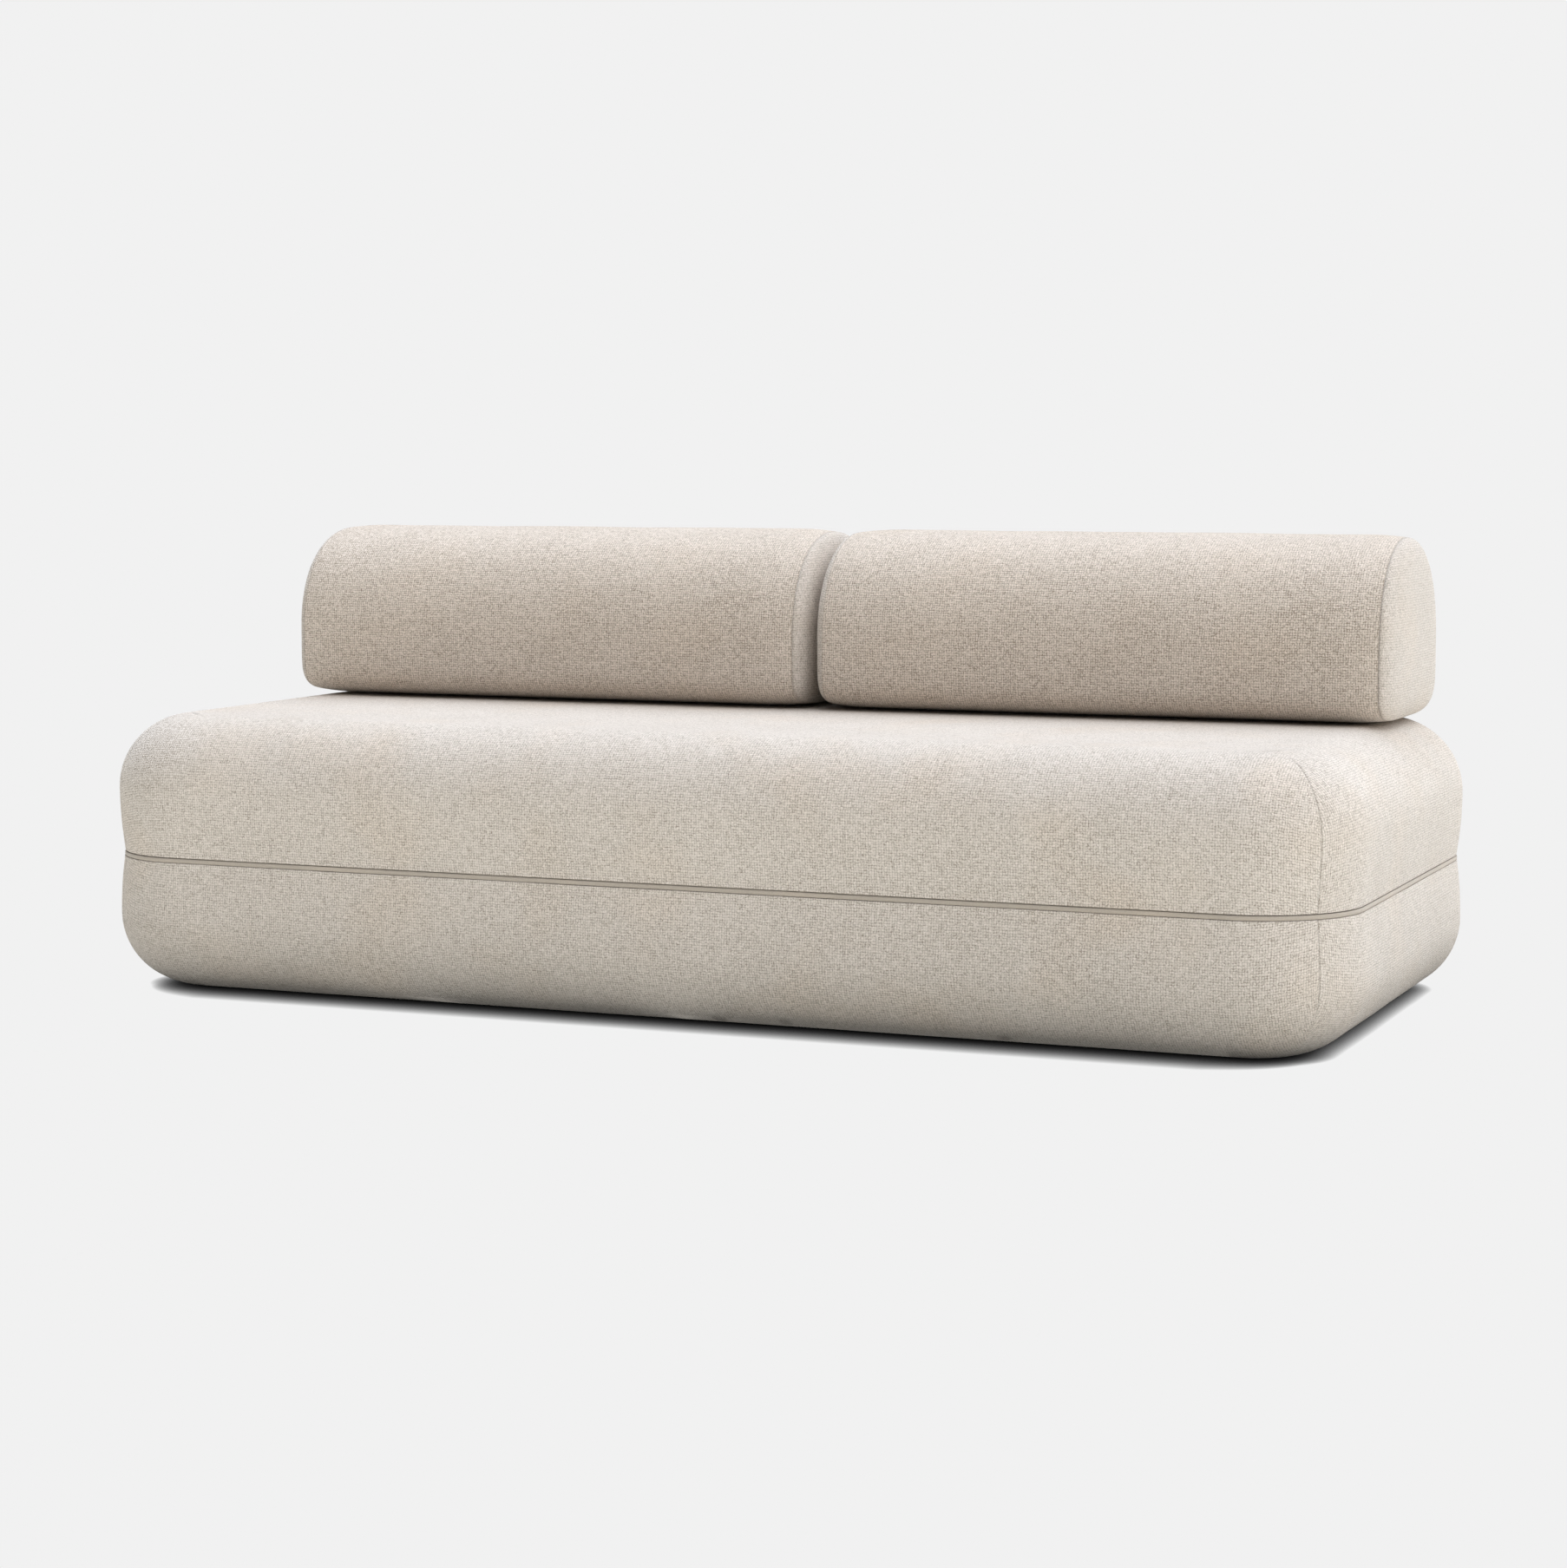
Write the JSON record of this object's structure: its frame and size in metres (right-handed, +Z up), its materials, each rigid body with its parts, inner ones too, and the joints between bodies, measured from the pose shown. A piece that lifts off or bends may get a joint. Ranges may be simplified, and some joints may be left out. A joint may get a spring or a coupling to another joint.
{
  "type": "sofa bed",
  "caption": "Low sofa bed of two stacked upholstered foam blocks hinged at the front edge, with two loose oval bolsters standing on the seat as a backrest.",
  "frame": {"origin": "middle of the footprint, on the floor under the lower block", "axes": "+X along the sofa to its right end as seen from the front, -Y to the front, +Z up"},
  "size_m": [2, 0.9515, 0.7135],
  "materials": {
    "cover_fabric": "matte",
    "bolster_fabric": "matte",
    "end_fabric": "matte",
    "sleep_fabric": "matte",
    "piping_fabric": "matte",
    "fibre_wadding": "matte",
    "support_foam": "matte",
    "comfort_foam": "matte",
    "underside_cloth": "matte",
    "zip_tape": "matte",
    "zip_teeth": "satin",
    "zip_metal": "satin",
    "hinge_webbing": "matte",
    "grip_mat": "matte"
  },
  "bodies": {
    "base": {"base_cover": "cover_fabric", "base_sleep_panel": "sleep_fabric", "base_piping": "piping_fabric", "base_wadding": "fibre_wadding", "base_support_foam": "support_foam", "base_comfort_foam": "comfort_foam", "base_underside_cloth": "underside_cloth", "base_zip_tape": "zip_tape", "base_zip_teeth": "zip_teeth", "fold_hinge_strip": "hinge_webbing"},
    "base_zip_slider": {"base_zip_slider": "zip_metal"},
    "base_zip_pull": {"base_zip_pull": "zip_metal"},
    "seat": {"seat_cover": "cover_fabric", "seat_sleep_panel": "sleep_fabric", "seat_wadding": "fibre_wadding", "seat_support_foam": "support_foam", "seat_comfort_foam": "comfort_foam", "seat_zip_tape": "zip_tape", "seat_zip_teeth": "zip_teeth"},
    "seat_zip_slider": {"seat_zip_slider": "zip_metal"},
    "seat_zip_pull": {"seat_zip_pull": "zip_metal"},
    "left_bolster_mat": {"left_bolster_mat": "grip_mat"},
    "left_bolster": {"left_bolster_cover": "bolster_fabric", "left_bolster_outer_end": "end_fabric", "left_bolster_inner_end": "end_fabric", "left_bolster_wadding": "fibre_wadding", "left_bolster_core": "comfort_foam", "left_bolster_zip_tape": "zip_tape", "left_bolster_zip_teeth": "zip_teeth"},
    "left_bolster_zip_slider": {"left_bolster_zip_slider": "zip_metal"},
    "left_bolster_zip_pull": {"left_bolster_zip_pull": "zip_metal"},
    "right_bolster_mat": {"right_bolster_mat": "grip_mat"},
    "right_bolster": {"right_bolster_cover": "bolster_fabric", "right_bolster_outer_end": "end_fabric", "right_bolster_inner_end": "end_fabric", "right_bolster_wadding": "fibre_wadding", "right_bolster_core": "comfort_foam", "right_bolster_zip_tape": "zip_tape", "right_bolster_zip_teeth": "zip_teeth"},
    "right_bolster_zip_slider": {"right_bolster_zip_slider": "zip_metal"},
    "right_bolster_zip_pull": {"right_bolster_zip_pull": "zip_metal"}
  },
  "joints": [
    {"name": "seat_fold", "type": "hinge", "parent": "base", "child": "seat", "pos_m": [0, -0.4752, 0.215], "axis": [1, 0, 0], "range_deg": [0, 180], "deforming": ["fold_hinge_strip"]},
    {"name": "base_zip_slide", "type": "slide", "parent": "base", "child": "base_zip_slider", "axis": [1, 0, 0], "range_m": [0, 1.38]},
    {"name": "base_zip_pull_turn", "type": "hinge", "parent": "base_zip_slider", "child": "base_zip_pull", "pos_m": [-0.6908, 0.47539, 0.19147], "axis": [0, 0, 1], "range_deg": [0, 180]},
    {"name": "seat_zip_slide", "type": "slide", "parent": "seat", "child": "seat_zip_slider", "axis": [1, 0, 0], "range_m": [0, 1.38]},
    {"name": "seat_zip_pull_turn", "type": "hinge", "parent": "seat_zip_slider", "child": "seat_zip_pull", "pos_m": [-0.6908, 0.47525, 0.23745], "axis": [0, 0, 1], "range_deg": [0, 180]},
    {"name": "left_bolster_carry", "type": "hinge", "parent": "seat", "child": "left_bolster_mat", "pos_m": [0, 0.475, 0.4295], "axis": [1, 0, 0], "range_deg": [-180, 0]},
    {"name": "left_bolster_lift", "type": "slide", "parent": "left_bolster_mat", "child": "left_bolster", "axis": [0, 0, 1], "range_m": [0, 0.35]},
    {"name": "left_bolster_zip_slide", "type": "slide", "parent": "left_bolster", "child": "left_bolster_zip_slider", "axis": [1, 0, 0], "range_m": [0, 0.68]},
    {"name": "left_bolster_zip_pull_turn", "type": "hinge", "parent": "left_bolster_zip_slider", "child": "left_bolster_zip_pull", "pos_m": [-0.8128, 0.45081, 0.5255], "axis": [0, 0, 1], "range_deg": [0, 180]},
    {"name": "right_bolster_carry", "type": "hinge", "parent": "seat", "child": "right_bolster_mat", "pos_m": [0, 0.475, 0.4295], "axis": [1, 0, 0], "range_deg": [-180, 0]},
    {"name": "right_bolster_lift", "type": "slide", "parent": "right_bolster_mat", "child": "right_bolster", "axis": [0, 0, 1], "range_m": [0, 0.35]},
    {"name": "right_bolster_zip_slide", "type": "slide", "parent": "right_bolster", "child": "right_bolster_zip_slider", "axis": [1, 0, 0], "range_m": [0, 0.68]},
    {"name": "right_bolster_zip_pull_turn", "type": "hinge", "parent": "right_bolster_zip_slider", "child": "right_bolster_zip_pull", "pos_m": [0.1312, 0.45081, 0.5255], "axis": [0, 0, 1], "range_deg": [0, 180]}
  ],
  "couplings": [
    {"joint": "left_bolster_carry", "follows": "seat_fold", "ratio": -1},
    {"joint": "right_bolster_carry", "follows": "seat_fold", "ratio": -1}
  ]
}
